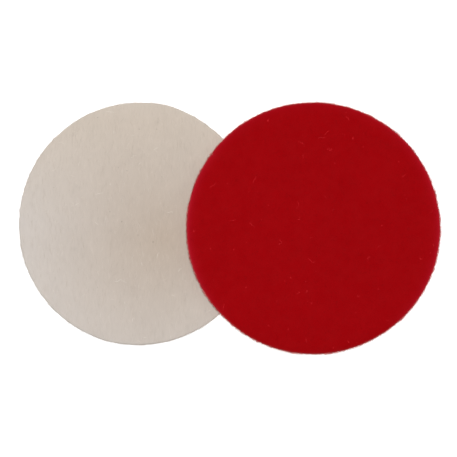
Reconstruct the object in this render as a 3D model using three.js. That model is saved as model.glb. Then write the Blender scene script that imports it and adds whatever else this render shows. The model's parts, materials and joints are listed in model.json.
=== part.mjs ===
// A pair of felt polishing discs for a flat lap: an undyed one lying on the table, and a red one
// lying partly over it. Each is a disc of pressed wool felt with a self-adhesive back, which a
// sheet of release paper covers until the disc is stuck to the lap.
//
// Millimetres, +Z up. The line through the two centres is the X axis, with the undyed disc on the
// -X side. The origin is on the table, under the middle of the pair.

import * as THREE from 'three';

const INCH = 25.4;

// Driving dimensions.
const RED_RADIUS = 6 * INCH / 2;      // a nominal 6 inch disc
const CREAM_RADIUS = 73.1;            // the undyed disc is cut about 4% smaller
const CENTRE_SPACING = 105;           // between the two discs' centres, along X
const FELT_THICKNESS = INCH / 8;
const FELT_EDGE_ROUND = 0.5;          // radius of the felt's upper edge, softened by the cutting die
const ADHESIVE_THICKNESS = 0.15;
const LINER_THICKNESS = 0.12;
const LAYER_GAP = 0.03;               // free space between layers, and between the discs where they touch

// How finely the round shapes are divided.
const AROUND = 128;
const EDGE_STEPS = 5;

// The layers' heights over the underside of the release paper.
const ADHESIVE_BOTTOM = LINER_THICKNESS + LAYER_GAP;
const FELT_BOTTOM = ADHESIVE_BOTTOM + ADHESIVE_THICKNESS + LAYER_GAP;
const DISC_THICKNESS = FELT_BOTTOM + FELT_THICKNESS;

// Where the discs lie.
const PAIR_LENGTH = CREAM_RADIUS + CENTRE_SPACING + RED_RADIUS;
const CREAM_CENTRE_X = CREAM_RADIUS - PAIR_LENGTH / 2;
const RED_FAR_EDGE_X = PAIR_LENGTH / 2;

// The colour, roughness and metalness of each material.
const UNDYED_WOOL = { color: 0xc9bcb0, roughness: 0.95, metalness: 0 };
const RED_WOOL = { color: 0x9a080e, roughness: 0.95, metalness: 0 };
const ADHESIVE_FILM = { color: 0xd8c78f, roughness: 0.3, metalness: 0 };
const RELEASE_PAPER = { color: 0xe9e4d6, roughness: 0.7, metalness: 0 };

// A round layer about the local Z axis, from its bottom up, with its upper edge rounded.
function roundLayer(radius, bottom, thickness, edgeRound) {
  const top = bottom + thickness;
  const profile = [new THREE.Vector2(0, bottom), new THREE.Vector2(radius, bottom)];
  if (edgeRound > 0) {
    for (let step = 0; step <= EDGE_STEPS; step += 1) {
      const angle = (step / EDGE_STEPS) * Math.PI / 2;
      profile.push(new THREE.Vector2(
        radius - edgeRound * (1 - Math.cos(angle)),
        top - edgeRound * (1 - Math.sin(angle)),
      ));
    }
  } else {
    profile.push(new THREE.Vector2(radius, top));
  }
  profile.push(new THREE.Vector2(0, top));
  const geometry = new THREE.LatheGeometry(profile, AROUND);
  geometry.rotateX(Math.PI / 2);
  return geometry;
}

function layerMesh(name, geometry, finish) {
  const mesh = new THREE.Mesh(geometry, new THREE.MeshStandardMaterial(finish));
  mesh.name = name;
  return mesh;
}

// One disc lying on the plane z = 0, centred on the local Z axis.
function polishingDisc(prefix, radius, wool) {
  const disc = new THREE.Group();
  const felt = roundLayer(radius, FELT_BOTTOM, FELT_THICKNESS, FELT_EDGE_ROUND);
  const adhesive = roundLayer(radius, ADHESIVE_BOTTOM, ADHESIVE_THICKNESS, 0);
  const liner = roundLayer(radius, 0, LINER_THICKNESS, 0);
  disc.add(layerMesh(`${prefix}_felt`, felt, wool));
  disc.add(layerMesh(`${prefix}_adhesive`, adhesive, ADHESIVE_FILM));
  disc.add(layerMesh(`${prefix}_liner`, liner, RELEASE_PAPER));
  return disc;
}

// The red disc leans on the undyed one. Its far edge stands on the table, and its underside is
// tangent to the rounded upper edge of the undyed disc.
function leanAngle() {
  const edgeCentreX = CREAM_CENTRE_X + CREAM_RADIUS - FELT_EDGE_ROUND;
  const edgeCentreZ = DISC_THICKNESS - FELT_EDGE_ROUND;
  const run = RED_FAR_EDGE_X - edgeCentreX;
  const distance = Math.hypot(run, edgeCentreZ);
  const toEdgeCentre = Math.atan2(edgeCentreZ, run);
  return toEdgeCentre + Math.asin((FELT_EDGE_ROUND + LAYER_GAP) / distance);
}

const creamDisc = polishingDisc('cream', CREAM_RADIUS, UNDYED_WOOL);
creamDisc.position.x = CREAM_CENTRE_X;

const redDisc = polishingDisc('red', RED_RADIUS, RED_WOOL);
redDisc.position.x = -RED_RADIUS;

// This group turns about the point where the red disc's far edge stands on the table.
const leaning = new THREE.Group();
leaning.position.x = RED_FAR_EDGE_X;
leaning.rotation.y = leanAngle();
leaning.add(redDisc);

const group = new THREE.Group();
group.add(creamDisc, leaning);

export default group;
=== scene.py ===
import json
import math

import bpy
import numpy as np
from mathutils import Matrix, Vector


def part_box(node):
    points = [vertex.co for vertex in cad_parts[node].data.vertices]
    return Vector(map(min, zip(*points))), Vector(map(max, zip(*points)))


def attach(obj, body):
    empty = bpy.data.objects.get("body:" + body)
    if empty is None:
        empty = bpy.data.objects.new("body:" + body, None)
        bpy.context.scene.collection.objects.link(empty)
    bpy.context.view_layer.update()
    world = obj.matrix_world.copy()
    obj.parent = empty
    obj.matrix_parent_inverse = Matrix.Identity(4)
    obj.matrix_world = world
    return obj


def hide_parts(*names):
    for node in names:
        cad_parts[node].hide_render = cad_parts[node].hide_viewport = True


# Two felt polishing discs lying flat, an undyed one and a red one that leans on it. Each felt is a
# fine mesh with pressed-in fibres, and has loose fibres of its own. Behind it are an adhesive film
# and a sheet of release paper. Metres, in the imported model's frame.

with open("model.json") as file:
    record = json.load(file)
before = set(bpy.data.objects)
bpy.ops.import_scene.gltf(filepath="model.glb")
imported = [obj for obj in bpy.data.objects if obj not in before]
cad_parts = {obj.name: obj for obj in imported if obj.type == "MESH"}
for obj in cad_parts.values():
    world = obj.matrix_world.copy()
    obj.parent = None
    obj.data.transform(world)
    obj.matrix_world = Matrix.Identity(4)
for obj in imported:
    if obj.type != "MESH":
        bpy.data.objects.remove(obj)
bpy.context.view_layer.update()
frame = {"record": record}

MM = 0.001

# ---------------------------------------------------------------- where the discs are


def levels(node):
    """(lowest, highest) Z of a layer of the undyed disc, which lies flat."""
    low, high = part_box(node)
    return low.z, high.z


LAYERS = {kind: levels(f"cream_{kind}") for kind in ("felt", "adhesive", "liner")}
DISC_TOP = LAYERS["felt"][1]


def half_width(node):
    low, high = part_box(node)
    return (high.y - low.y) / 2


def cream_placement():
    """From the undyed disc's own frame, with its origin under its centre, to the row frame."""
    low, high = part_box("cream_liner")
    return Matrix.Translation(((low.x + high.x) / 2, (low.y + high.y) / 2, low.z))


def red_placement():
    """The same for the red disc, whose upper face is a mount of the record."""
    face = next(m for m in frame["record"]["mounts"] if m["name"] == "red_face")
    normal = Vector(face["axis"]).normalized()
    along_x = Vector((normal.z, 0, -normal.x))
    along_y = normal.cross(along_x)
    turn = Matrix((along_x, along_y, normal)).transposed().to_4x4()
    return Matrix.Translation(Vector(face["pos_m"]) - normal * DISC_TOP) @ turn


CREAM_R = half_width("cream_felt")
RED_R = half_width("red_felt")
CREAM_PLACE = cream_placement()
RED_PLACE = red_placement()

# ---------------------------------------------------------------- camera, light and floor

CAMERA_HEIGHT = 0.95
VIEW_WIDTH = 0.276       # what the picture spans at the height of the discs
CAMERA_ROLL = math.radians(1.38)
CAMERA_AIM = (0.0001, -0.00135)
SENSOR = 36.0

FILL_LIGHT = 0.14        # even light from all round
BACKGROUND_LIGHT = 1.0   # what the camera sees past the floor
SOFTBOX_SPREAD = 0.4     # diameter of the softbox over the discs

FLOOR_RADIUS = 0.6
FLOOR_DROP = 0.05 * MM
FLOOR_COLOUR = (0.95, 0.95, 0.95)
FLOOR_GLOW = 0.30        # a light table: it gives off a little light of its own


def add_camera():
    data = bpy.data.cameras.new("camera")
    data.sensor_width = SENSOR
    data.lens = SENSOR * (CAMERA_HEIGHT - DISC_TOP) / VIEW_WIDTH
    data.clip_start = 0.01
    camera = bpy.data.objects.new("camera", data)
    camera.location = (*CAMERA_AIM, CAMERA_HEIGHT)
    camera.rotation_euler = (0, 0, CAMERA_ROLL)
    bpy.context.scene.collection.objects.link(camera)
    bpy.context.scene.camera = camera


def add_area_light(name, place, size, power):
    data = bpy.data.lights.new(name, "AREA")
    data.shape = "DISK"
    data.size = size
    data.energy = power
    light = bpy.data.objects.new(name, data)
    light.location = place
    light.rotation_euler = (-Vector(place)).to_track_quat("-Z", "Y").to_euler()
    bpy.context.scene.collection.objects.link(light)


def add_world():
    """Dim even light for the discs. The camera sees the same world as a plain white background."""
    world = bpy.data.worlds.new("studio")
    world.use_nodes = True
    tree = world.node_tree
    background = tree.nodes["Background"]
    background.inputs["Color"].default_value = (1, 1, 1, 1)
    ray = tree.nodes.new("ShaderNodeLightPath")
    strength = tree.nodes.new("ShaderNodeMapRange")
    strength.inputs["To Min"].default_value = FILL_LIGHT
    strength.inputs["To Max"].default_value = BACKGROUND_LIGHT
    tree.links.new(ray.outputs["Is Camera Ray"], strength.inputs["Value"])
    tree.links.new(strength.outputs["Result"], background.inputs["Strength"])
    bpy.context.scene.world = world


def add_lights():
    add_world()
    add_area_light("overhead", (0.0, 0.2, 1.9), SOFTBOX_SPREAD, 28.1)
    add_area_light("left_box", (-1.5, 0.3, 1.1), 1.0, 3)
    add_area_light("right_box", (1.5, 0.3, 1.1), 1.0, 3)
    bpy.context.scene.view_settings.view_transform = "Standard"


# ---------------------------------------------------------------- materials


class Shader:
    """A material under construction: one Principled shader and the nodes that feed it."""

    def __init__(self, name):
        self.material = bpy.data.materials.new(name)
        self.material.use_nodes = True
        self.tree = self.material.node_tree
        self.surface = self.tree.nodes["Principled BSDF"]

    def add(self, kind, **settings):
        node = self.tree.nodes.new(kind)
        for key, value in settings.items():
            setattr(node, key, value)
        return node

    def put(self, value, socket):
        """Feeds a socket from an output, or sets it to a plain value."""
        if isinstance(value, bpy.types.NodeSocket):
            self.tree.links.new(value, socket)
        else:
            socket.default_value = value

    def set(self, **constants):
        for key, value in constants.items():
            self.surface.inputs[key.replace("_", " ")].default_value = value

    def place(self):
        return self.add("ShaderNodeTexCoord").outputs["Object"]

    def stretched(self, scale):
        """The piece's own coordinates, multiplied along each axis."""
        node = self.add("ShaderNodeMapping")
        self.put(self.place(), node.inputs["Vector"])
        node.inputs["Scale"].default_value = scale
        return node.outputs["Vector"]

    def noise(self, scale, detail=3.0, roughness=0.55):
        """Noise from 0 to 1. scale is in cells per metre along each axis."""
        node = self.add("ShaderNodeTexNoise")
        self.put(self.stretched(scale), node.inputs["Vector"])
        node.inputs["Scale"].default_value = 1.0
        node.inputs["Detail"].default_value = detail
        node.inputs["Roughness"].default_value = roughness
        return node.outputs["Fac"]

    def attribute(self, name):
        return self.add("ShaderNodeAttribute", attribute_name=name).outputs["Fac"]

    def math(self, operation, a, b):
        node = self.add("ShaderNodeMath", operation=operation)
        self.put(a, node.inputs[0])
        self.put(b, node.inputs[1])
        return node.outputs[0]

    def weighted(self, start, *terms):
        """start plus each output, centred on its own middle and times its weight."""
        total = start
        for output, middle, weight in terms:
            part = self.math("MULTIPLY", self.math("SUBTRACT", output, middle), weight)
            total = self.math("ADD", part, total)
        return total

    def mix(self, share, a, b):
        node = self.add("ShaderNodeMix", data_type="RGBA")
        self.put(share, node.inputs["Factor"])
        for value, socket in ((a, node.inputs[6]), (b, node.inputs[7])):
            self.put((*value, 1) if isinstance(value, tuple) else value, socket)
        return node.outputs[2]

    def scaled(self, colour, factor):
        node = self.add("ShaderNodeVectorMath", operation="SCALE")
        self.put(colour, node.inputs[0])
        self.put(factor, node.inputs["Scale"])
        return node.outputs["Vector"]

    def from_range(self, value, low, high, new_low, new_high):
        node = self.add("ShaderNodeMapRange")
        self.put(value, node.inputs["Value"])
        for key, number in (("From Min", low), ("From Max", high), ("To Min", new_low), ("To Max", new_high)):
            node.inputs[key].default_value = number
        return node.outputs["Result"]

    def distance_from(self, point):
        node = self.add("ShaderNodeVectorMath", operation="DISTANCE")
        self.put(self.place(), node.inputs[0])
        node.inputs[1].default_value = point
        return node.outputs["Value"]

    def height_along_y(self):
        node = self.add("ShaderNodeSeparateXYZ")
        self.put(self.place(), node.inputs[0])
        return node.outputs["Y"]

    def bump(self, height, distance, strength=1.0):
        node = self.add("ShaderNodeBump")
        self.put(height, node.inputs["Height"])
        node.inputs["Distance"].default_value = distance
        node.inputs["Strength"].default_value = strength
        self.put(node.outputs["Normal"], self.surface.inputs["Normal"])


CREAM_LIGHT = (0.640, 0.582, 0.535)
CREAM_YELLOWED = (0.627, 0.546, 0.468)
# CREAM_SHADED is painted shade: the undyed felt is darker and warmer near the red disc, standing in for its
# shadow and red bounce light.
CREAM_SHADED = (0.522, 0.430, 0.352)
CREAM_EDGE = (0.630, 0.590, 0.540)
SHADE_MIDDLE_AT = (16 * MM, -8 * MM)     # middle of the painted shade on the undyed felt, towards the red disc, in its own frame
SHADE_REACH = 85 * MM
YELLOWED_FROM = 60 * MM            # +Y from the middle, where the yellowed half has its full colour
RED_DEEP = (0.321, 0.0016, 0.0035)
RED_WORN = (0.325, 0.0024, 0.0043)
# RED_EDGE_HIGHLIGHT is a painted highlight on the red felt's edge, strongest at its two ends along X.
RED_EDGE_HIGHLIGHT = (0.445, 0.0080, 0.0210)
# RED_STRIP_HIGHLIGHT is a painted highlight: a pale pink line along the red felt's cut edge.
RED_STRIP_HIGHLIGHT = (0.500, 0.0900, 0.1000)
CREAM_FRAYED = (0.600, 0.560, 0.515)


def layered_side(s, strength):
    """Level streaks on the cut side only, where the felt's layers of fibre show."""
    streaks = s.noise((260, 260, 3200), detail=3)
    return streaks, 0.5, s.math("MULTIPLY", s.attribute("wall"), strength)


def felt_surface(s, ground, edge_colour, outer_strip_colour, texture, height, bump_height):
    """Colour and bump that both felts share. texture is the weighted lightness."""
    # The rim and outer strip mix in the edge colours; on the red felt these are painted highlight and painted
    # shade.
    body = s.mix(s.attribute("rim"), s.scaled(ground, texture), edge_colour)
    s.put(s.mix(s.attribute("outer_strip"), body, outer_strip_colour), s.surface.inputs["Base Color"])
    s.bump(height, bump_height)


def cream_felt_material():
    s = Shader("undyed_wool_felt")
    # Painted shade and red bounce light: the undyed felt turns darker and warmer towards the red disc.
    shade_middle = CREAM_PLACE @ Vector((*SHADE_MIDDLE_AT, DISC_TOP))
    out_of_shade = s.from_range(s.distance_from(shade_middle), 0, SHADE_REACH, 0, 1)
    yellowed = s.from_range(s.height_along_y(), 0, YELLOWED_FROM, 0, 1)
    ground = s.mix(out_of_shade, CREAM_SHADED, s.mix(yellowed, CREAM_LIGHT, CREAM_YELLOWED))
    grain = s.noise((2300, 230, 900), detail=4)
    flecks = s.noise((3800, 1500, 3800), detail=2)
    cloud = s.noise((85, 60, 85), detail=2)
    texture = s.weighted(
        1.0, (s.attribute("shade"), 0.0, 0.0125), (grain, 0.5, 0.035), (flecks, 0.5, 0.02),
        (cloud, 0.5, 0.06), layered_side(s, 0.30),
    )
    height = s.weighted(0.0, (grain, 0.5, 1.0), (flecks, 0.5, 0.7))
    felt_surface(s, ground, CREAM_EDGE, CREAM_FRAYED, texture, height, 0.05 * MM)
    s.put(s.from_range(flecks, 0.3, 0.7, 0.86, 1.0), s.surface.inputs["Roughness"])
    s.set(Specular_IOR_Level=0.12, Sheen_Weight=0.06, Sheen_Roughness=0.6)
    s.set(Sheen_Tint=(1.0, 0.96, 0.9, 1))
    return s.material


def red_felt_material():
    s = Shader("red_wool_felt")
    grain = s.noise((1500, 1500, 1500), detail=4)
    flecks = s.noise((4200, 4200, 4200), detail=2)
    cloud = s.noise((70, 70, 70), detail=2)
    worn = s.from_range(s.noise((150, 150, 150), detail=3), 0.35, 0.65, 0, 1)
    texture = s.weighted(
        1.0, (s.attribute("shade"), 0.0, 0.0115), (grain, 0.5, 0.035), (flecks, 0.5, 0.02),
        (cloud, 0.5, 0.10), layered_side(s, 0.35),
    )
    height = s.weighted(0.0, (grain, 0.5, 1.0), (flecks, 0.5, 0.7))
    ground = s.mix(worn, RED_DEEP, RED_WORN)
    felt_surface(s, ground, RED_EDGE_HIGHLIGHT, RED_STRIP_HIGHLIGHT, texture, height, 0.03 * MM)
    s.put(s.from_range(flecks, 0.3, 0.7, 0.86, 1.0), s.surface.inputs["Roughness"])
    s.set(Specular_IOR_Level=0.01, Sheen_Weight=0.05, Sheen_Roughness=0.6)
    s.set(Sheen_Tint=(1.0, 0.05, 0.06, 1))
    return s.material


def fibre_material(name, colour, sheen_tint):
    """One tint of wool fibre. A fibre is far thinner than any pattern, so its colour is plain."""
    s = Shader(name)
    s.set(Base_Color=(*colour, 1), Roughness=0.8, Specular_IOR_Level=0.05, Sheen_Weight=0.1)
    s.set(Sheen_Tint=(*sheen_tint, 1))
    return s.material


def adhesive_material():
    s = Shader("adhesive_film")
    ripple = s.noise((350, 350, 350), detail=3)
    thin = s.noise((60, 60, 60), detail=2)
    s.put(s.mix(thin, (0.60, 0.47, 0.22), (0.76, 0.66, 0.40)), s.surface.inputs["Base Color"])
    s.put(s.from_range(ripple, 0.3, 0.7, 0.18, 0.38), s.surface.inputs["Roughness"])
    s.bump(ripple, 0.02 * MM)
    s.set(Specular_IOR_Level=0.5)
    return s.material


def release_paper_material():
    s = Shader("release_paper")
    pulp = s.noise((900, 500, 900), detail=5, roughness=0.65)
    cloud = s.noise((120, 120, 120), detail=3)
    tone = s.weighted(0.5, (pulp, 0.5, 1.0), (cloud, 0.5, 0.8))
    s.put(s.mix(tone, (0.72, 0.67, 0.56), (0.88, 0.85, 0.77)), s.surface.inputs["Base Color"])
    s.put(s.from_range(pulp, 0.3, 0.7, 0.42, 0.6), s.surface.inputs["Roughness"])
    s.bump(s.weighted(0.0, (pulp, 0.5, 1.0), (cloud, 0.5, 0.5)), 0.015 * MM)
    s.set(Specular_IOR_Level=0.4, Coat_Weight=0.25, Coat_Roughness=0.3)
    return s.material


def floor_material():
    s = Shader("studio_floor")
    s.set(Base_Color=(*FLOOR_COLOUR, 1), Roughness=0.9, Specular_IOR_Level=0.0)
    s.set(Emission_Color=(1, 1, 1, 1), Emission_Strength=FLOOR_GLOW)
    return s.material


# ---------------------------------------------------------------- pressed fibres as a height field

FIELD_STEP = 0.2 * MM
FIELD_MARGIN = 3 * MM


class Field:
    """Values on a square grid over a disc's face, zero on average, with a spread of one."""

    def __init__(self, radius, seed):
        self.reach = radius + FIELD_MARGIN
        self.cells = int(2 * self.reach / FIELD_STEP) + 1
        self.values = np.zeros((self.cells, self.cells))
        self.rng = np.random.default_rng(seed)

    def blurred(self, values, sigma):
        """Gaussian blur by FFT. sigma is in metres."""
        f = np.fft.rfftfreq(self.cells, FIELD_STEP)[None, :] ** 2
        g = np.fft.fftfreq(self.cells, FIELD_STEP)[:, None] ** 2
        falloff = np.exp(-2 * (math.pi * sigma) ** 2 * (f + g))
        return np.fft.irfft2(np.fft.rfft2(values) * falloff, s=values.shape)

    def add(self, values, weight):
        self.values += weight * (values - values.mean()) / values.std()

    def add_cloud(self, sigma, weight):
        self.add(self.blurred(self.rng.normal(size=self.values.shape), sigma), weight)

    def add_strokes(self, count, length, sigma, spread, weight):
        """Short curved fibres, along Y within spread radians, each raised or sunk at random."""
        points = max(4, int(length / FIELD_STEP))
        at = np.linspace(-0.5, 0.5, points)
        long = length * self.rng.uniform(0.5, 1.4, (count, 1))
        angle = math.pi / 2 + self.rng.uniform(-spread, spread, (count, 1))
        bend = self.rng.normal(0, 0.5, (count, 1))
        heading = angle + bend * at
        x = self.rng.uniform(-self.reach, self.reach, (count, 1)) + long * at * np.cos(heading)
        y = self.rng.uniform(-self.reach, self.reach, (count, 1)) + long * at * np.sin(heading)
        lift = self.rng.normal(size=(count, 1)) * np.cos(math.pi * at) * long / length
        column = np.clip(((x + self.reach) / FIELD_STEP).astype(int), 0, self.cells - 1)
        row = np.clip(((y + self.reach) / FIELD_STEP).astype(int), 0, self.cells - 1)
        marks = np.bincount((row * self.cells + column).ravel(), lift.ravel(), self.cells**2)
        self.add(self.blurred(marks.reshape(self.cells, self.cells), sigma), weight)

    def add_pits(self, count, sigma, weight):
        """Small round hollows."""
        marks = np.zeros(self.values.shape)
        marks[tuple(self.rng.integers(0, self.cells, (2, count)))] = -1
        self.add(self.blurred(marks, sigma), weight)

    def at(self, x, y):
        u = np.clip((x + self.reach) / FIELD_STEP, 0, self.cells - 1.001)
        v = np.clip((y + self.reach) / FIELD_STEP, 0, self.cells - 1.001)
        i, j = u.astype(int), v.astype(int)
        a, b = u - i, v - j
        f = self.values
        near = f[j, i] * (1 - a) + f[j, i + 1] * a
        far = f[j + 1, i] * (1 - a) + f[j + 1, i + 1] * a
        return near * (1 - b) + far * b

    def finish(self):
        self.values /= self.values.std()
        return self


def cream_field():
    field = Field(CREAM_R, seed=11)
    field.add_strokes(14000, 6.0 * MM, 0.20 * MM, 0.28, 1.0)
    field.add_strokes(12000, 2.5 * MM, 0.20 * MM, 1.5, 0.40)
    field.add_cloud(1.5 * MM, 0.25)
    field.add_cloud(6 * MM, 0.45)
    field.add_pits(28, 0.85 * MM, 0.26)
    field.add_pits(7, 1.3 * MM, 0.16)
    return field.finish()


def red_field():
    field = Field(RED_R, seed=23)
    field.add_strokes(30000, 2.6 * MM, 0.25 * MM, 1.57, 1.0)
    field.add_cloud(1.2 * MM, 0.5)
    field.add_cloud(7 * MM, 0.6)
    field.add_pits(100, 0.38 * MM, 0.42)
    return field.finish()


# ---------------------------------------------------------------- the outline each disc was cut to

CREAM_FUZZ = 0.30 * MM    # how far inside its outline the solid felt stops. The fuzz fills the rest
RED_FUZZ = 0.03 * MM


def bump_at(angle, place, width):
    """1 at one angle in degrees, falling to 0 within about twice width, in radians."""
    off = np.angle(np.exp(1j * (angle - math.radians(place))))
    return np.exp(-((off / width) ** 2))


def cream_cut(angle):
    """Radius of the undyed felt, cut a little out of round and with a small peak on its far side."""
    r = CREAM_R - CREAM_FUZZ - 0.30 * MM * np.cos(2 * angle) + 0.12 * MM * np.cos(3 * angle + 1.0)
    r = r + 0.08 * MM * np.cos(7 * angle + 0.4) + 0.05 * MM * np.sin(13 * angle)
    return r + 0.65 * MM * bump_at(angle, 79, 0.13) - 0.45 * MM * bump_at(angle, 52, 0.16)


def red_cut(angle):
    """Radius of the red felt, a little wider along X than along Y and cut a little off centre."""
    r = RED_R - RED_FUZZ + 0.40 * MM * np.cos(2 * angle) + 0.39 * MM * np.cos(angle)
    r = r + 0.07 * MM * np.cos(5 * angle + 2.0)
    return r + 0.05 * MM * np.sin(9 * angle + 0.7) + 0.03 * MM * np.sin(17 * angle)


NICKS = 40                # small tufts and nicks along each felt's edge


def nicked(angle, height, seed):
    """How far the edge stands out, or in, at each angle."""
    rng = np.random.default_rng(seed)
    total = np.zeros_like(angle)
    for place in rng.uniform(-180, 180, NICKS):
        total = total + height * rng.normal() * bump_at(angle, place, rng.uniform(0.007, 0.018))
    return total


# ---------------------------------------------------------------- how the leaning disc hangs

SAG = 0.5 * MM            # of the red disc between the table and the other disc's edge
END_DROOP = 0.25 * MM     # of its free end past that edge


def no_sag(x):
    return np.zeros_like(x)


def red_sag(x):
    """Height that the red disc gains at x along itself. It rests at its far edge and where the
    undyed disc's edge is."""
    inverse = RED_PLACE.inverted()
    rest = (inverse @ (CREAM_PLACE @ Vector((CREAM_R, 0, DISC_TOP)))).x
    span, free = RED_R - rest, RED_R + rest
    share = (RED_R - x) / span
    hanging = -SAG * np.sin(math.pi * np.clip(share, 0, 1))
    past = np.clip(rest - x, 0, None)
    tip = SAG * math.pi / span * past - END_DROOP * (past / free) ** 2
    return hanging + tip


def open_above(x, y):
    """Nothing lies on the red disc."""
    return np.full_like(x, np.inf)


def under_red(x, y):
    """Height of the red disc's underside over the undyed disc at (x, y), both in the undyed disc's
    own frame."""
    to_red = np.array(RED_PLACE.inverted() @ CREAM_PLACE)
    x_red = to_red[0, 0] * x + to_red[0, 2] * DISC_TOP + to_red[0, 3]
    y_red = to_red[1, 1] * y + to_red[1, 3]
    height = (red_sag(x_red) - to_red[2, 0] * x - to_red[2, 3]) / to_red[2, 2]
    return np.where(np.hypot(x_red, y_red) < RED_R, height, np.inf)


# ---------------------------------------------------------------- one disc's shape


def cream_rim(angle):
    """How far the felt's edge is lighter than its face, up to 1, or darker, down to -1."""
    return np.full_like(angle, 0.05)


def red_rim(angle):
    """The same for the red felt. Its two ends along X, and a little its +Y side, carry a painted highlight,
    and its -Y side painted shade.
    """
    light = np.cos(angle) ** 2 + 0.3 * np.clip(np.sin(angle), 0, 1) ** 2
    return light - np.clip(-np.sin(angle), 0, 1) ** 4


class Disc:
    """One disc in its own frame: what it was cut to, how it hangs, what lies over it, how light its
    edge is, and how its face is pressed."""

    def __init__(self, prefix, place, cut, sag, ceiling, rim, field, depth, raggedness):
        self.prefix = prefix
        self.place = place
        self.cut = cut
        self.sag = sag
        self.ceiling = ceiling
        self.rim = rim
        self.field = field
        self.depth = depth
        self.raggedness = raggedness
        self.body = f"{prefix}_disc"
        self.paper_body = f"{prefix}_release_paper"

    def pressed(self, x, y):
        """How deep the face lies under the felt's full height."""
        return self.depth * np.clip(1.5 - 0.5 * self.field.at(x, y), 0, 3) / 1.5

    def flat_size(self):
        """(width, length) and area of the felt as it was cut."""
        angle = np.linspace(0, 2 * math.pi, 720, endpoint=False)
        r = self.cut(angle)
        width = np.ptp(r * np.cos(angle))
        length = np.ptp(r * np.sin(angle))
        return (float(width), float(length)), float((r**2).mean() * math.pi)


# ---------------------------------------------------------------- meshes


def mesh_piece(name, points, triangles, place, materials, slots=None, smooth=True):
    """A mesh object from arrays of points, in a disc's own frame, and triangles."""
    turn = np.array(place, float)
    world = points @ turn[:3, :3].T + turn[:3, 3]
    mesh = bpy.data.meshes.new(name)
    mesh.vertices.add(len(world))
    mesh.vertices.foreach_set("co", world.astype(np.float32).ravel())
    mesh.loops.add(triangles.size)
    mesh.loops.foreach_set("vertex_index", triangles.astype(np.int32).ravel())
    mesh.polygons.add(len(triangles))
    mesh.polygons.foreach_set("loop_start", np.arange(0, triangles.size, 3, dtype=np.int32))
    for material in materials:
        mesh.materials.append(material)
    if slots is not None:
        mesh.polygons.foreach_set("material_index", slots.astype(np.int32))
    mesh.update(calc_edges=True)
    mesh.polygons.foreach_set("use_smooth", np.full(len(triangles), smooth))
    piece = bpy.data.objects.new(name, mesh)
    bpy.context.scene.collection.objects.link(piece)
    return piece


def add_attribute(piece, name, values):
    attribute = piece.data.attributes.new(name, "FLOAT", "POINT")
    attribute.data.foreach_set("value", values.astype(np.float32))


def band(first, first_count, second, second_count):
    """Triangles between two rings of points. Each ring starts at angle 0 and runs anticlockwise."""
    made = []
    i = j = 0
    while i < first_count or j < second_count:
        if j < second_count and (i >= first_count or (j + 1) * first_count <= (i + 1) * second_count):
            k = (j + 1) % second_count
            if second_count > 1:
                made.append((first + i % first_count, second + j, second + k))
            j += 1
        else:
            k = (i + 1) % first_count
            if first_count > 1:
                made.append((first + i, second + j % second_count, first + k))
            i += 1
    return made


def rings_to_mesh(rings):
    """Each point's angle and ring, and the triangles, of a closed round body. rings holds the rings'
    counts, from the middle of the upper face, over the edge, to the middle of the lower one."""
    starts = np.concatenate([[0], np.cumsum(rings)])
    triangles = []
    for k in range(len(rings) - 1):
        triangles += band(int(starts[k]), rings[k], int(starts[k + 1]), rings[k + 1])
    angles = np.concatenate([np.arange(n) * 2 * math.pi / n for n in rings])
    ring_of = np.repeat(np.arange(len(rings)), rings)
    return angles, ring_of, np.array(triangles)


SHEET_RINGS = 48          # of each thin layer, and of the felt's underside, which lies on one
FELT_GRID = 0.5 * MM
FELT_ARRIS = 0.55 * MM    # radius of the felt's upper edge
ARRIS_STEPS = 4
WALL_STEPS = 7
CRUSH_DEPTH = 0.20 * MM   # how far the cutting die pressed the face down beside its edge
CRUSH_WIDTH = 1.8 * MM
RIM_WIDTH = 1.75 * MM     # over which the edge's lighter colour fades by a factor of e; on the red felt the lighter and darker edge is painted highlight and painted shade
WALL_TURN = 60 * MM       # how far across the pressed field half a turn of the cut side reads
WALL_STRETCH = 25         # and how much faster it reads with height, which makes level layers
FINE_TURN = 55 * MM
FINE_STRETCH = 20
LAYER_RELIEF = 0.07 * MM  # of the layers on the cut side
FINE_RELIEF = 0.05 * MM
WALL_DRAWN_IN = 0.10 * MM  # how far the cut side's top and bottom stand back from its middle
OUTER_STRIP_WIDTH = 0.5 * MM   # of the outermost strip, where the cut fibres' ends are; on the red felt its pale pink is a painted highlight
OUTER_STRIP_SHARE = 0.3
EDGE_PAINTED_SHADE = 8          # how much darker the painted shade on the red felt's -Y edge is, in spreads of the pressed field


def felt_rings(radius):
    """How many rings the face has, and every ring's point count, share of the radius, inset from the
    edge and height."""
    bottom, top = LAYERS["felt"]
    face_rings = int(radius / FELT_GRID)
    around = 6 * face_rings
    rings = [(1, 0.0, FELT_ARRIS, top)]
    for k in range(1, face_rings + 1):
        rings.append((6 * k, k / face_rings, FELT_ARRIS, top))
    for step in range(1, ARRIS_STEPS + 1):
        turn = step / ARRIS_STEPS * math.pi / 2
        drop = FELT_ARRIS * (1 - math.cos(turn))
        rings.append((around, 1.0, FELT_ARRIS * (1 - math.sin(turn)), top - drop))
    for step in range(1, WALL_STEPS + 1):
        drop = FELT_ARRIS + (top - FELT_ARRIS - bottom) * step / WALL_STEPS
        rings.append((around, 1.0, 0.0, top - drop))
    for k in range(SHEET_RINGS - 1, 0, -1):
        rings.append((6 * k, k / SHEET_RINGS, 0.0, bottom))
    rings.append((1, 0.0, 0.0, bottom))
    return face_rings, rings


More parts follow.
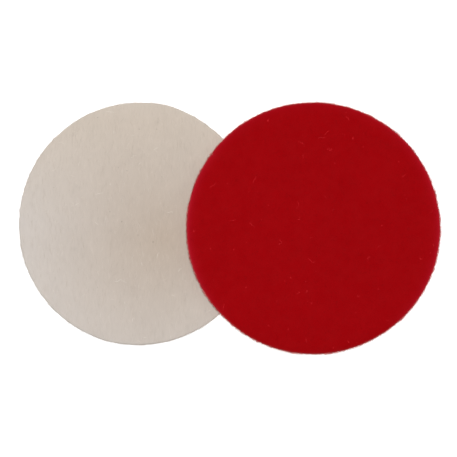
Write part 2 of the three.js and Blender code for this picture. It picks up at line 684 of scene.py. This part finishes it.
def felt_body(disc, material):
    """The felt: a closed body with its fibres pressed into its face and its cut side rough."""
    bottom, top = LAYERS["felt"]
    face_rings, rings = felt_rings(disc.cut(np.zeros(1))[0])
    counts, share, inset, height = (list(column) for column in zip(*rings))
    angles, ring_of, triangles = rings_to_mesh(counts)
    share, inset, height = (np.array(v)[ring_of] for v in (share, inset, height))
    on_face = ring_of < face_rings + ARRIS_STEPS
    on_wall = (ring_of > face_rings) & (ring_of <= face_rings + ARRIS_STEPS + WALL_STEPS)
    edge = disc.cut(angles) + nicked(angles, disc.raggedness, seed=31)
    radius = (edge - inset) * share
    x, y = radius * np.cos(angles), radius * np.sin(angles)
    shade = disc.field.at(x, y)
    from_edge = np.clip(edge - radius, 0, None)
    crushed = CRUSH_DEPTH * np.exp(-((from_edge / CRUSH_WIDTH) ** 2))
    z = np.where(on_face, height - disc.pressed(x, y) - crushed, height)

    layer = disc.field.at(angles / math.pi * WALL_TURN, height * WALL_STRETCH)
    fine = disc.field.at(height * FINE_STRETCH, angles / math.pi * FINE_TURN)
    rough = LAYER_RELIEF * layer + FINE_RELIEF * fine
    middle = 1 - ((height - (top + bottom) / 2) / (top - bottom) * 2) ** 2
    pushed = np.where(on_wall, rough - WALL_DRAWN_IN * (1 - middle), 0)
    x, y = x + pushed * np.cos(angles), y + pushed * np.sin(angles)
    z = z + disc.sag(x)
    points = np.stack([x, y, z], axis=1)
    piece = mesh_piece(f"{disc.prefix}_felt_pad", points, triangles, disc.place, [material])
    # On the red felt the rim is a painted highlight set by angle, and painted shade on its -Y side, which
    # goes into the shade attribute.
    rim = np.where(on_face | on_wall, disc.rim(angles) * np.exp(-from_edge / RIM_WIDTH), 0)
    # On the red felt the outer strip is a painted highlight.
    outer_strip = OUTER_STRIP_SHARE * np.exp(-((from_edge / OUTER_STRIP_WIDTH) ** 2)) * (0.8 + 0.2 * layer)
    shade = np.where(on_face, shade, 0.6 * layer) + EDGE_PAINTED_SHADE * np.clip(rim, -1, 0)
    add_attribute(piece, "shade", shade)
    add_attribute(piece, "rim", np.clip(rim, 0, 1))
    add_attribute(piece, "outer_strip", np.where(on_face, np.clip(outer_strip, 0, 1), 0))
    add_attribute(piece, "wall", np.where(on_wall & (inset == 0), 1, 0))
    piece.data.set_sharp_from_angle(angle=math.radians(60))
    return piece


TRIM_RIPPLE = 0.03 * MM   # of the thin layers' cut edges


def thin_layer(disc, name, kind, material, grow):
    """The adhesive film or the release paper: a thin closed sheet of the felt's outline."""
    bottom, top = LAYERS[kind]
    face = [1] + [6 * k for k in range(1, SHEET_RINGS + 1)]
    share = [k / SHEET_RINGS for k in range(SHEET_RINGS + 1)]
    share = np.array(share + share[::-1])
    height = np.array([top] * len(face) + [bottom] * len(face))
    angles, ring_of, triangles = rings_to_mesh(face + face[::-1])
    radius = (disc.cut(angles) + grow + TRIM_RIPPLE * np.sin(37 * angles)) * share[ring_of]
    x, y = radius * np.cos(angles), radius * np.sin(angles)
    z = height[ring_of] + disc.sag(x)
    points = np.stack([x, y, z], axis=1)
    piece = mesh_piece(f"{disc.prefix}_{name}", points, triangles, disc.place, [material])
    piece.data.set_sharp_from_angle(angle=math.radians(60))
    return piece


# ---------------------------------------------------------------- loose fibres


def fibre_piece(name, paths, thickness, place, materials, rng):
    """Thin closed tubes, three-sided and pointed at both ends. paths is fibres x points x 3."""
    count, steps, _ = paths.shape
    along = np.gradient(paths, axis=1)
    along /= np.linalg.norm(along, axis=2, keepdims=True) + 1e-12
    side = np.cross(along, rng.normal(size=(count, 1, 3)))
    side /= np.linalg.norm(side, axis=2, keepdims=True) + 1e-12
    other = np.cross(along, side)
    inner = paths[:, 1:-1]
    taper = np.sin(np.linspace(0.25, math.pi - 0.25, steps - 2))[None, :, None] ** 0.5
    radius = thickness[:, None, None] / 2 * taper
    corners = []
    for k in range(3):
        turn = 2 * math.pi * k / 3
        corners.append(inner + radius * (math.cos(turn) * side[:, 1:-1] + math.sin(turn) * other[:, 1:-1]))
    rings = np.stack(corners, axis=2).reshape(count, (steps - 2) * 3, 3)
    points = np.concatenate([paths[:, :1], rings, paths[:, -1:]], axis=1)
    per_fibre = points.shape[1]
    one = []
    for k in range(3):
        n = (k + 1) % 3
        one.append((0, 1 + n, 1 + k))
        last = 1 + (steps - 3) * 3
        one.append((per_fibre - 1, last + k, last + n))
        for s in range(steps - 3):
            a, b = 1 + s * 3 + k, 1 + s * 3 + n
            one += [(a, b, b + 3), (a, b + 3, a + 3)]
    one = np.array(one)
    triangles = (one[None] + per_fibre * np.arange(count)[:, None, None]).reshape(-1, 3)
    tint = rng.integers(0, len(materials), count)
    slots = np.repeat(tint, len(one))
    return mesh_piece(name, points.reshape(-1, 3), triangles, place, materials, slots, smooth=False)


FACE_MARGIN = 1.2 * MM    # how far inside the cut the middle of a face fibre stays
END_MARGIN = 0.4 * MM     # and the rest of it
SUNK = 0.03 * MM          # how deep its ends are in the felt


def face_fibres(disc, name, materials, seed, count, length, thick, lift, spread=math.pi, curl=1.1, steps=6):
    """Fibres that lie loose on the face: both ends in the felt and the middle a little above it.
    They run along Y within spread radians, and curl is about how far each one turns on its way."""
    rng = np.random.default_rng(seed)
    at = np.linspace(0, 1, steps)[None, :]
    angle = rng.uniform(0, 2 * math.pi, count)
    middle = (disc.cut(angle) - FACE_MARGIN) * np.sqrt(rng.uniform(0, 1, count))
    long = length * rng.uniform(0.5, 1.5, (count, 1))
    heading = math.pi / 2 + rng.uniform(-spread, spread, (count, 1))
    turning = rng.normal(0, curl, (count, 1))
    phase = rng.uniform(0, 2 * math.pi, (count, 1))
    heading = heading + turning * (at - 0.5) + 0.4 * turning * np.sin(2 * math.pi * at + phase)
    step = long / (steps - 1)
    x = np.cumsum(step * np.cos(heading), axis=1)
    y = np.cumsum(step * np.sin(heading), axis=1)
    x = x - x.mean(axis=1, keepdims=True) + (middle * np.cos(angle))[:, None]
    y = y - y.mean(axis=1, keepdims=True) + (middle * np.sin(angle))[:, None]
    inside = np.minimum(1, (disc.cut(np.arctan2(y, x)) - END_MARGIN) / np.maximum(np.hypot(x, y), 1e-6))
    x, y = x * inside, y * inside
    height = lift * rng.uniform(0.1, 1.0, (count, 1)) ** 2
    above = height * np.sin(math.pi * at) - SUNK
    z = LAYERS["felt"][1] - disc.pressed(x, y) + above + disc.sag(x)
    z = np.minimum(z, disc.ceiling(x, y) - thick)
    thickness = thick * rng.uniform(0.7, 1.4, count)
    paths = np.stack([x, y, z], axis=2)
    return fibre_piece(f"{disc.prefix}_{name}", paths, thickness, disc.place, materials, rng)


TUFTS = 70                # places where the cut edge is ragged
TUFT_SHARE = 0.25         # of the edge's fibres that stand in one of them
TUFT_WIDTH = 0.7 * MM
ROOT_DEPTH = 0.25 * MM    # how far inside the cut an edge fibre starts
TOP_MARGIN = 0.10 * MM    # how far under the face the highest ones start
SIDEWAYS = 0.9 * MM       # how far the end of one wanders along the edge, typically
RISE = 0.10 * MM          # how much higher its end is than its root, on average
RISE_SPREAD = 0.25 * MM
RISE_LIMIT = 0.3 * MM     # over the face
EDGE_WAVE = 0.12 * MM


def edge_fibres(disc, name, materials, seed, count, reach, thick, down):
    """Fibres that stand out of the felt's edge, most of them near its top and none further than
    down below it. The longest stand in tufts."""
    rng = np.random.default_rng(seed)
    bottom, top = LAYERS["felt"]
    steps = 6
    at = np.linspace(0, 1, steps)[None, :]
    angle = rng.uniform(0, 2 * math.pi, (count, 1))
    tuft_at = rng.uniform(0, 2 * math.pi, TUFTS)[rng.integers(0, TUFTS, (count, 1))]
    tuft_at = tuft_at + rng.normal(0, TUFT_WIDTH, (count, 1)) / disc.cut(tuft_at)
    in_tuft = rng.uniform(0, 1, (count, 1)) < TUFT_SHARE
    angle = np.where(in_tuft, tuft_at, angle)
    start = top - TOP_MARGIN - down * rng.uniform(0, 1, (count, 1)) ** 2
    out = reach * rng.uniform(0.15, 1.0, (count, 1)) ** np.where(in_tuft, 0.8, 2.0)
    sideways = rng.normal(0, SIDEWAYS, (count, 1)) * np.where(in_tuft, 0.4, 1.0)
    rise = rng.normal(RISE, RISE_SPREAD, (count, 1))
    wave = rng.normal(0, EDGE_WAVE, (count, 1))
    reached = np.sin(at * rng.uniform(1.3, 2.6, (count, 1)))
    radius = disc.cut(angle) - ROOT_DEPTH + (out + ROOT_DEPTH) * reached
    turned = angle + (sideways * at + wave * np.sin(7 * at)) / radius
    z = np.clip(start + rise * at + wave * np.sin(5 * at), bottom, top + RISE_LIMIT)
    x, y = radius * np.cos(turned), radius * np.sin(turned)
    z = np.minimum(z + disc.sag(x), disc.ceiling(x, y) - thick)
    thickness = thick * rng.uniform(0.7, 1.4, count)
    paths = np.stack([x, y, z], axis=2)
    return fibre_piece(f"{disc.prefix}_{name}", paths, thickness, disc.place, materials, rng)


# ---------------------------------------------------------------- the two discs


def put(piece, body, node=None):
    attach(piece, body)
    if node:
        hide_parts(node)


def add_felt(disc, material, loose):
    """The felt pad and its loose fibres, put on the disc's one body."""
    pad = felt_body(disc, material)
    put(pad, disc.body, f"{disc.prefix}_felt")
    for piece in loose:
        put(piece, disc.body)
    flat, area = disc.flat_size()


def add_backing(disc):
    film = thin_layer(disc, "adhesive_film", "adhesive", ADHESIVE, -0.05 * MM)
    put(film, disc.body, f"{disc.prefix}_adhesive")
    paper = thin_layer(disc, "release_paper_sheet", "liner", PAPER, 0.05 * MM)
    put(paper, disc.paper_body, f"{disc.prefix}_liner")


add_camera()
add_lights()

ADHESIVE = adhesive_material()
PAPER = release_paper_material()

UNDYED_SHEEN = (1, 0.97, 0.92)
undyed_tints = [
    fibre_material("undyed_fibre_light", (0.71, 0.65, 0.60), UNDYED_SHEEN),
    fibre_material("undyed_fibre", (0.59, 0.52, 0.46), UNDYED_SHEEN),
    fibre_material("undyed_fibre_dark", (0.48, 0.41, 0.35), UNDYED_SHEEN),
]
bleached = fibre_material("bleached_fibre", (0.78, 0.73, 0.67), UNDYED_SHEEN)
plant_bits = fibre_material("plant_bits", (0.17, 0.13, 0.09), UNDYED_SHEEN)
RED_SHEEN = (1, 0.1, 0.1)
red_tints = [
    fibre_material("red_fibre_light", (0.36, 0.0050, 0.0080), RED_SHEEN),
    fibre_material("red_fibre", (0.31, 0.0018, 0.0038), RED_SHEEN),
    fibre_material("red_fibre_dark", (0.27, 0.0012, 0.0026), RED_SHEEN),
]
pale_red = fibre_material("pale_red_fibre", (0.88, 0.037, 0.050), RED_SHEEN)
# Pale pink tints for the fuzz on the red felt's top edge: real edge fibres carrying a painted highlight, far
# paler than red wool.
highlit_edge_tints = [
    fibre_material("highlit_fibre_light", (0.86, 0.38, 0.35), RED_SHEEN),
    fibre_material("highlit_fibre", (0.70, 0.16, 0.15), RED_SHEEN),
    fibre_material("highlit_fibre_dark", (0.52, 0.03, 0.04), RED_SHEEN),
]

cream = Disc(
    "cream", CREAM_PLACE, cream_cut, no_sag, under_red, cream_rim, cream_field(), 0.05 * MM, 0.08 * MM
)
cream_loose = [
    face_fibres(cream, "nap", undyed_tints, 101, 5200, 5.0 * MM, 0.07 * MM, 0.22 * MM, spread=0.28),
    face_fibres(cream, "stray_fibres", [bleached], 104, 64, 4.5 * MM, 0.20 * MM, 0.4 * MM, curl=2.4),
    face_fibres(cream, "plant_specks", [plant_bits], 103, 18, 0.9 * MM, 0.30 * MM, 0.05 * MM, curl=2.0),
    edge_fibres(cream, "edge_fuzz", undyed_tints, 102, 5200, 0.8 * MM, 0.05 * MM, 2.9 * MM),
]
add_felt(cream, cream_felt_material(), cream_loose)
add_backing(cream)

red = Disc("red", RED_PLACE, red_cut, red_sag, open_above, red_rim, red_field(), 0.06 * MM, 0.20 * MM)
red_loose = [
    face_fibres(red, "nap", red_tints, 201, 5200, 3.0 * MM, 0.055 * MM, 0.22 * MM),
    face_fibres(red, "stray_fibres", [pale_red], 203, 40, 4.2 * MM, 0.13 * MM, 0.5 * MM, curl=4.2, steps=18),
    face_fibres(red, "lint_specks", [pale_red], 204, 30, 0.6 * MM, 0.28 * MM, 0.15 * MM, curl=2.0),
    edge_fibres(red, "edge_fuzz", red_tints, 202, 2600, 0.8 * MM, 0.06 * MM, 2.9 * MM),
    edge_fibres(red, "highlit_fuzz", highlit_edge_tints, 205, 5600, 0.9 * MM, 0.09 * MM, 1.2 * MM),
]
add_felt(red, red_felt_material(), red_loose)
add_backing(red)

bpy.ops.mesh.primitive_circle_add(
    vertices=96, radius=FLOOR_RADIUS, fill_type="NGON", location=(0, 0, -FLOOR_DROP)
)
floor = bpy.context.object
floor.name = "floor"
floor.data.materials.append(floor_material())
